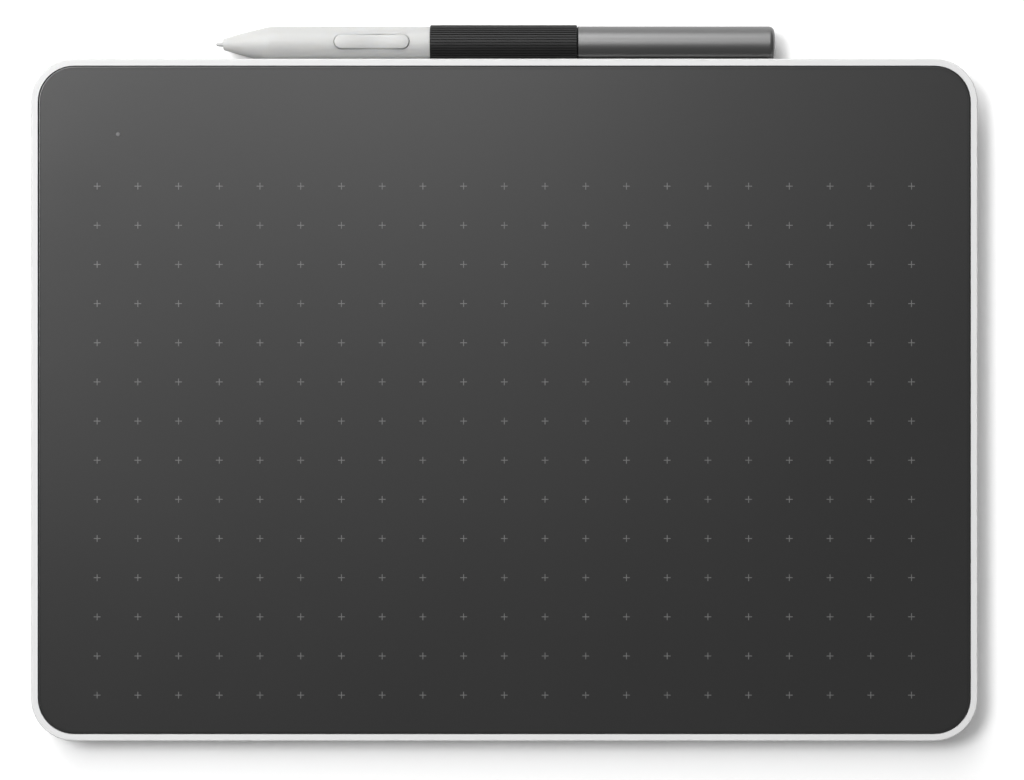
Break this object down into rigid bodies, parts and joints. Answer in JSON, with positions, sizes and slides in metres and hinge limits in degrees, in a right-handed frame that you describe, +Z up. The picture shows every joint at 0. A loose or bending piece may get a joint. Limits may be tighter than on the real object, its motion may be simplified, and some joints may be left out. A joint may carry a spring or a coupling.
{
  "type": "graphics tablet",
  "caption": "Thin wireless pen tablet with a dark textured drawing surface in a white tapered case, and a battery-free pen lying behind its rear edge.",
  "frame": {"origin": "on the desk, under the middle of the footprint of the tablet and the pen together", "axes": "+X to the user's right along the long side, +Y away from the user towards the pen, +Z up"},
  "size_m": [0.2514, 0.1904, 0.0103],
  "materials": {
    "white_shell": "fine spark-eroded texture, satin white",
    "dark_cover": "smooth matt, near black",
    "drawing_sheet": "textured matt film with a faint printed grid",
    "spacer_film": "milky film",
    "circuit_board": "green solder mask",
    "shield_metal": "rolled sheet",
    "screw_steel": "zinc plated",
    "chip_resin": "moulded black resin",
    "tinned_can": "tinned",
    "foot_rubber": "moulded, matt",
    "port_steel": "nickel plated, satin",
    "port_resin": "moulded black resin",
    "contact_gold": "gold flash",
    "switch_resin": "moulded",
    "led_lens": "clear resin over phosphor",
    "light_guide": "polished clear resin",
    "cell_foil": "laminated pouch foil",
    "tape": "adhesive film",
    "lead_sleeve": "extruded insulation",
    "plug_resin": "moulded natural resin",
    "flex_film": "amber polyimide film",
    "pen_white": "satin white moulding",
    "pen_rubber": "matt moulded rubber",
    "pen_grey": "satin metallic grey coating",
    "nib_resin": "hard wearing pale acetal",
    "holder_resin": "moulded black resin",
    "ferrite": "sintered, dull",
    "enamelled_wire": "enamelled winding"
  },
  "bodies": {
    "tablet": {"bottom_case": "white_shell", "top_cover": "dark_cover", "surface_sheet": "drawing_sheet", "spacer_sheet": "spacer_film", "sensor_board": "circuit_board", "main_board": "circuit_board", "shield_plate": "shield_metal", "board_screws": "screw_steel", "case_screws": "screw_steel", "board_chips": "chip_resin", "radio_module": "tinned_can", "rubber_feet": "foot_rubber", "usb_shell": "port_steel", "usb_tongue": "port_resin", "usb_contacts": "contact_gold", "power_switch": "switch_resin", "indicator_led": "led_lens", "light_pipe": "light_guide", "battery": "cell_foil", "battery_tape": "tape", "battery_leads": "lead_sleeve", "battery_plug": "plug_resin", "battery_socket": "plug_resin", "flex_connector": "plug_resin", "sensor_flex": "flex_film"},
    "power_button": {"power_button": "white_shell", "switch_plunger": "switch_resin"},
    "pen": {"pen_front_case": "pen_white", "pen_grip_sleeve": "pen_rubber", "pen_rear_case": "pen_grey", "pen_ferrite_core": "ferrite", "pen_coil": "enamelled_wire", "pen_pressure_cell": "holder_resin", "pen_chassis": "holder_resin", "pen_board": "circuit_board", "pen_switches": "holder_resin", "pen_chips": "chip_resin"},
    "nib": {"pen_nib": "nib_resin", "pen_nib_holder": "holder_resin"},
    "side_switch": {"pen_side_switch": "pen_white"}
  },
  "joints": [
    {"name": "power_button_travel", "type": "slide", "parent": "tablet", "child": "power_button", "axis": [0, -1, 0], "range_m": [0, 0.0004], "stiffness_N_per_m": 2000, "springref_m": -0.0004},
    {"name": "pen_away", "type": "slide", "parent": "tablet", "child": "pen", "axis": [0, 1, 0], "range_m": [0, 0.08]},
    {"name": "nib_travel", "type": "slide", "parent": "pen", "child": "nib", "axis": [1, 0, 0], "range_m": [0, 0.0004], "stiffness_N_per_m": 400, "springref_m": -0.0004},
    {"name": "side_switch_rock", "type": "hinge", "parent": "pen", "child": "side_switch", "pos_m": [-0.03345, 0.09016, 0.00691], "axis": [0, 0.9981, -0.061], "range_deg": [-2, 2], "stiffness_Nm_per_rad": 0.2}
  ]
}
